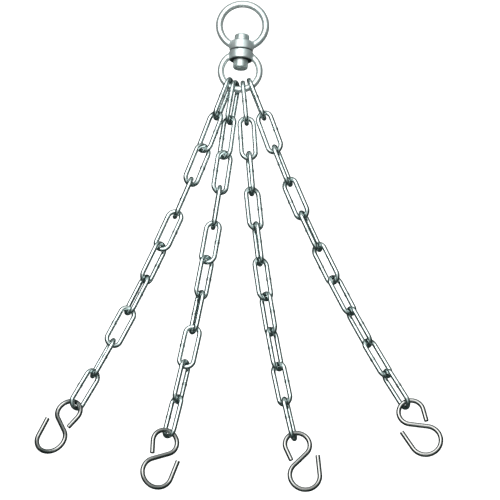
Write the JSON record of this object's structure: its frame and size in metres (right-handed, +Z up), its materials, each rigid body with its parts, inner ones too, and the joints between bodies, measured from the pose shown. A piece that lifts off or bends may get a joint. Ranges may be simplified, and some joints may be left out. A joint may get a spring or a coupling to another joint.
{
  "type": "four leg chain sling",
  "caption": "Chain sling lying flat: a swivel between two forged round eyes, and legs of welded long link chain fanning out from the lower eye, each ending in an open S hook.",
  "frame": {"origin": "the bearing point on the inside of the top eye's crown", "axes": "the sling lies flat: +Y is the direction of pull on the top eye, along the swivel's axis, +X is across the legs from the first to the last, and +Z is up from the surface it lies on"},
  "size_m": [0.3415, 0.4391, 0.02],
  "materials": {
    "chain_links": "bright zinc plate",
    "forged_eyes": "zinc plate over a forged surface, satin",
    "swivel_pin": "zinc plate, satin",
    "hook_wire": "bright zinc plate on drawn wire"
  },
  "bodies": {
    "top_eye": {"top_eye": "forged_eyes"},
    "pin": {"swivel_pin": "swivel_pin", "pin_collar": "swivel_pin"},
    "lower_eye": {"lower_eye": "forged_eyes"},
    "leg_1_link_01": {"leg_1_link_01": "chain_links"},
    "leg_1_link_02": {"leg_1_link_02": "chain_links"},
    "leg_1_link_03": {"leg_1_link_03": "chain_links"},
    "leg_1_link_04": {"leg_1_link_04": "chain_links"},
    "leg_1_link_05": {"leg_1_link_05": "chain_links"},
    "leg_1_link_06": {"leg_1_link_06": "chain_links"},
    "leg_1_link_07": {"leg_1_link_07": "chain_links"},
    "leg_1_link_08": {"leg_1_link_08": "chain_links"},
    "leg_1_link_09": {"leg_1_link_09": "chain_links"},
    "leg_1_link_10": {"leg_1_link_10": "chain_links"},
    "hook_1": {"hook_1": "hook_wire"},
    "leg_2_link_01": {"leg_2_link_01": "chain_links"},
    "leg_2_link_02": {"leg_2_link_02": "chain_links"},
    "leg_2_link_03": {"leg_2_link_03": "chain_links"},
    "leg_2_link_04": {"leg_2_link_04": "chain_links"},
    "leg_2_link_05": {"leg_2_link_05": "chain_links"},
    "leg_2_link_06": {"leg_2_link_06": "chain_links"},
    "leg_2_link_07": {"leg_2_link_07": "chain_links"},
    "leg_2_link_08": {"leg_2_link_08": "chain_links"},
    "leg_2_link_09": {"leg_2_link_09": "chain_links"},
    "leg_2_link_10": {"leg_2_link_10": "chain_links"},
    "hook_2": {"hook_2": "hook_wire"},
    "leg_3_link_01": {"leg_3_link_01": "chain_links"},
    "leg_3_link_02": {"leg_3_link_02": "chain_links"},
    "leg_3_link_03": {"leg_3_link_03": "chain_links"},
    "leg_3_link_04": {"leg_3_link_04": "chain_links"},
    "leg_3_link_05": {"leg_3_link_05": "chain_links"},
    "leg_3_link_06": {"leg_3_link_06": "chain_links"},
    "leg_3_link_07": {"leg_3_link_07": "chain_links"},
    "leg_3_link_08": {"leg_3_link_08": "chain_links"},
    "leg_3_link_09": {"leg_3_link_09": "chain_links"},
    "leg_3_link_10": {"leg_3_link_10": "chain_links"},
    "hook_3": {"hook_3": "hook_wire"},
    "leg_4_link_01": {"leg_4_link_01": "chain_links"},
    "leg_4_link_02": {"leg_4_link_02": "chain_links"},
    "leg_4_link_03": {"leg_4_link_03": "chain_links"},
    "leg_4_link_04": {"leg_4_link_04": "chain_links"},
    "leg_4_link_05": {"leg_4_link_05": "chain_links"},
    "leg_4_link_06": {"leg_4_link_06": "chain_links"},
    "leg_4_link_07": {"leg_4_link_07": "chain_links"},
    "leg_4_link_08": {"leg_4_link_08": "chain_links"},
    "leg_4_link_09": {"leg_4_link_09": "chain_links"},
    "leg_4_link_10": {"leg_4_link_10": "chain_links"},
    "hook_4": {"hook_4": "hook_wire"}
  },
  "joints": [
    {"name": "pin_turn", "type": "hinge", "parent": "top_eye", "child": "pin", "pos_m": [0, -0.0395, 0], "axis": [0, 1, 0], "continuous": true},
    {"name": "swivel_turn", "type": "hinge", "parent": "top_eye", "child": "lower_eye", "pos_m": [0, -0.0395, 0], "axis": [0, 1, 0], "continuous": true},
    {"name": "leg_1_link_01_swing", "type": "hinge", "parent": "lower_eye", "child": "leg_1_link_01", "pos_m": [-0.00932, -0.07071, 0], "axis": [0.8192, -0.5736, 0], "range_deg": [-45, 5]},
    {"name": "leg_1_link_02_swing", "type": "hinge", "parent": "leg_1_link_01", "child": "leg_1_link_02", "pos_m": [-0.01854, -0.09994, 0], "axis": [0.2145, -0.0676, -0.9744], "range_deg": [-5, 30]},
    {"name": "leg_1_link_03_swing", "type": "hinge", "parent": "leg_1_link_02", "child": "leg_1_link_03", "pos_m": [-0.02778, -0.13016, 0], "axis": [0.7834, -0.2395, 0.5736], "range_deg": [-30, 25]},
    {"name": "leg_1_link_04_swing", "type": "hinge", "parent": "leg_1_link_03", "child": "leg_1_link_04", "pos_m": [-0.03764, -0.16018, 0], "axis": [-0.8057, 0.2647, 0.5299], "range_deg": [-25, 30]},
    {"name": "leg_1_link_05_swing", "type": "hinge", "parent": "leg_1_link_04", "child": "leg_1_link_05", "pos_m": [-0.04812, -0.18999, 0], "axis": [-0.1476, 0.0519, -0.9877], "range_deg": [-15, 30]},
    {"name": "leg_1_link_06_swing", "type": "hinge", "parent": "leg_1_link_05", "child": "leg_1_link_06", "pos_m": [-0.05922, -0.21958, 0], "axis": [0.9085, -0.3408, 0.2419], "range_deg": [-35, 30]},
    {"name": "leg_1_link_07_swing", "type": "hinge", "parent": "leg_1_link_06", "child": "leg_1_link_07", "pos_m": [-0.07093, -0.24893, 0], "axis": [0.5459, -0.2178, -0.809], "range_deg": [-35, 25]},
    {"name": "leg_1_link_08_swing", "type": "hinge", "parent": "leg_1_link_07", "child": "leg_1_link_08", "pos_m": [-0.08325, -0.27803, 0], "axis": [-0.4743, 0.2007, -0.8572], "range_deg": [-60, 60]},
    {"name": "leg_1_link_09_swing", "type": "hinge", "parent": "leg_1_link_08", "child": "leg_1_link_09", "pos_m": [-0.09616, -0.30687, 0], "axis": [-0.8816, 0.3948, 0.2588], "range_deg": [-20, 30]},
    {"name": "leg_1_link_10_swing", "type": "hinge", "parent": "leg_1_link_09", "child": "leg_1_link_10", "pos_m": [-0.10967, -0.33544, 0], "axis": [0.2793, -0.1321, 0.9511], "range_deg": [-20, 20]},
    {"name": "hook_1_swing", "type": "hinge", "parent": "leg_1_link_10", "child": "hook_1", "pos_m": [-0.12377, -0.36372, 0], "axis": [0.6651, -0.3316, -0.6691], "range_deg": [-25, 12]},
    {"name": "leg_2_link_01_swing", "type": "hinge", "parent": "lower_eye", "child": "leg_2_link_01", "pos_m": [-0.00352, -0.07326, 0], "axis": [0.9763, -0.2164, 0], "range_deg": [-4, 15]},
    {"name": "leg_2_link_02_swing", "type": "hinge", "parent": "leg_2_link_01", "child": "leg_2_link_02", "pos_m": [-0.00699, -0.10372, 0], "axis": [0.3398, -0.0387, -0.9397], "range_deg": [-5, 5]},
    {"name": "leg_2_link_03_swing", "type": "hinge", "parent": "leg_2_link_02", "child": "leg_2_link_03", "pos_m": [-0.00947, -0.13522, 0], "axis": [0.7409, -0.0583, 0.6691], "range_deg": [-35, 35]},
    {"name": "leg_2_link_04_swing", "type": "hinge", "parent": "leg_2_link_03", "child": "leg_2_link_04", "pos_m": [-0.01236, -0.16669, 0], "axis": [-0.8873, 0.0815, 0.454], "range_deg": [-30, 35]},
    {"name": "leg_2_link_05_swing", "type": "hinge", "parent": "leg_2_link_04", "child": "leg_2_link_05", "pos_m": [-0.01566, -0.19812, 0], "axis": [-0.0867, 0.0091, -0.9962], "range_deg": [-15, 15]},
    {"name": "leg_2_link_06_swing", "type": "hinge", "parent": "leg_2_link_05", "child": "leg_2_link_06", "pos_m": [-0.01937, -0.2295, 0], "axis": [0.939, -0.1111, 0.3256], "range_deg": [-25, 20]},
    {"name": "leg_2_link_07_swing", "type": "hinge", "parent": "leg_2_link_06", "child": "leg_2_link_07", "pos_m": [-0.0235, -0.26082, 0], "axis": [0.6762, -0.089, -0.7314], "range_deg": [-28, 20]},
    {"name": "leg_2_link_08_swing", "type": "hinge", "parent": "leg_2_link_07", "child": "leg_2_link_08", "pos_m": [-0.02803, -0.2921, 0], "axis": [-0.3867, 0.0561, -0.9205], "range_deg": [-25, 25]},
    {"name": "leg_2_link_09_swing", "type": "hinge", "parent": "leg_2_link_08", "child": "leg_2_link_09", "pos_m": [-0.03298, -0.32331, 0], "axis": [-0.9875, 0.1564, -0.0175], "range_deg": [-20, 25]},
    {"name": "leg_2_link_10_swing", "type": "hinge", "parent": "leg_2_link_09", "child": "leg_2_link_10", "pos_m": [-0.03833, -0.35445, 0], "axis": [0.4165, -0.0716, -0.9063], "range_deg": [-28, 24]},
    {"name": "hook_2_swing", "type": "hinge", "parent": "leg_2_link_10", "child": "hook_2", "pos_m": [-0.04409, -0.38552, 0], "axis": [0.6451, -0.1196, 0.7547], "range_deg": [-30, 30]},
    {"name": "leg_3_link_01_swing", "type": "hinge", "parent": "lower_eye", "child": "leg_3_link_01", "pos_m": [0.00352, -0.07326, 0], "axis": [0.9763, 0.2164, 0], "range_deg": [-15, 30]},
    {"name": "leg_3_link_02_swing", "type": "hinge", "parent": "leg_3_link_01", "child": "leg_3_link_02", "pos_m": [0.00778, -0.10362, 0], "axis": [0.0346, 0.0049, -0.9994], "range_deg": [-5, 5]},
    {"name": "leg_3_link_03_swing", "type": "hinge", "parent": "leg_3_link_02", "child": "leg_3_link_03", "pos_m": [0.01136, -0.13501, 0], "axis": [0.9719, 0.1107, -0.2079], "range_deg": [-60, 60]},
    {"name": "leg_3_link_04_swing", "type": "hinge", "parent": "leg_3_link_03", "child": "leg_3_link_04", "pos_m": [0.01553, -0.16634, 0], "axis": [-0.138, -0.0184, -0.9903], "range_deg": [-15, 15]},
    {"name": "leg_3_link_05_swing", "type": "hinge", "parent": "leg_3_link_04", "child": "leg_3_link_05", "pos_m": [0.0203, -0.19758, 0], "axis": [-0.8561, -0.1306, 0.5], "range_deg": [-60, 60]},
    {"name": "leg_3_link_06_swing", "type": "hinge", "parent": "leg_3_link_05", "child": "leg_3_link_06", "pos_m": [0.02566, -0.22872, 0], "axis": [0.2049, 0.0353, 0.9781], "range_deg": [-30, 30]},
    {"name": "leg_3_link_07_swing", "type": "hinge", "parent": "leg_3_link_06", "child": "leg_3_link_07", "pos_m": [0.03161, -0.25975, 0], "axis": [0.8329, 0.1596, -0.5299], "range_deg": [-60, 60]},
    {"name": "leg_3_link_08_swing", "type": "hinge", "parent": "leg_3_link_07", "child": "leg_3_link_08", "pos_m": [0.03814, -0.29067, 0], "axis": [-0.5612, -0.1186, -0.8192], "range_deg": [-60, 60]},
    {"name": "leg_3_link_09_swing", "type": "hinge", "parent": "leg_3_link_08", "child": "leg_3_link_09", "pos_m": [0.04526, -0.32146, 0], "axis": [-0.5727, -0.1325, 0.809], "range_deg": [-60, 60]},
    {"name": "leg_3_link_10_swing", "type": "hinge", "parent": "leg_3_link_09", "child": "leg_3_link_10", "pos_m": [0.05297, -0.3521, 0], "axis": [0.7429, 0.1868, 0.6428], "range_deg": [-20, 20]},
    {"name": "hook_3_swing", "type": "hinge", "parent": "leg_3_link_10", "child": "hook_3", "pos_m": [0.06125, -0.3826, 0], "axis": [0.266, 0.0723, -0.9613], "range_deg": [-18, 20]},
    {"name": "leg_4_link_01_swing", "type": "hinge", "parent": "lower_eye", "child": "leg_4_link_01", "pos_m": [0.01, -0.07021, 0], "axis": [0.788, 0.6157, 0], "range_deg": [-40, 40]},
    {"name": "leg_4_link_02_swing", "type": "hinge", "parent": "leg_4_link_01", "child": "leg_4_link_02", "pos_m": [0.02223, -0.09831, 0], "axis": [0.064, 0.0278, -0.9976], "range_deg": [-30, 5]},
    {"name": "leg_4_link_03_swing", "type": "hinge", "parent": "leg_4_link_02", "child": "leg_4_link_03", "pos_m": [0.03406, -0.12761, 0], "axis": [0.8403, 0.3395, 0.4226], "range_deg": [-60, 60]},
    {"name": "leg_4_link_04_swing", "type": "hinge", "parent": "leg_4_link_03", "child": "leg_4_link_04", "pos_m": [0.04664, -0.1566, 0], "axis": [-0.2835, -0.123, 0.9511], "range_deg": [-25, 35]},
    {"name": "leg_4_link_05_swing", "type": "hinge", "parent": "leg_4_link_04", "child": "leg_4_link_05", "pos_m": [0.05994, -0.18527, 0], "axis": [-0.7148, -0.3318, -0.6157], "range_deg": [-60, 60]},
    {"name": "leg_4_link_06_swing", "type": "hinge", "parent": "leg_4_link_05", "child": "leg_4_link_06", "pos_m": [0.07397, -0.21358, 0], "axis": [0.3645, 0.1805, -0.9135], "range_deg": [-30, 35]},
    {"name": "leg_4_link_07_swing", "type": "hinge", "parent": "leg_4_link_06", "child": "leg_4_link_07", "pos_m": [0.08871, -0.24153, 0], "axis": [0.6145, 0.324, 0.7193], "range_deg": [-60, 60]},
    {"name": "leg_4_link_08_swing", "type": "hinge", "parent": "leg_4_link_07", "child": "leg_4_link_08", "pos_m": [0.10415, -0.2691, 0], "axis": [-0.6585, -0.3688, 0.6561], "range_deg": [-45, 45]},
    {"name": "leg_4_link_09_swing", "type": "hinge", "parent": "leg_4_link_08", "child": "leg_4_link_09", "pos_m": [0.12028, -0.29628, 0], "axis": [-0.3081, -0.183, -0.9336], "range_deg": [-60, 60]},
    {"name": "leg_4_link_10_swing", "type": "hinge", "parent": "leg_4_link_09", "child": "leg_4_link_10", "pos_m": [0.1371, -0.32303, 0], "axis": [0.6486, 0.4076, -0.6428], "range_deg": [-60, 60]},
    {"name": "hook_4_swing", "type": "hinge", "parent": "leg_4_link_10", "child": "hook_4", "pos_m": [0.15458, -0.34935, 0], "axis": [0.3388, 0.2251, 0.9135], "range_deg": [-30, 30]}
  ]
}
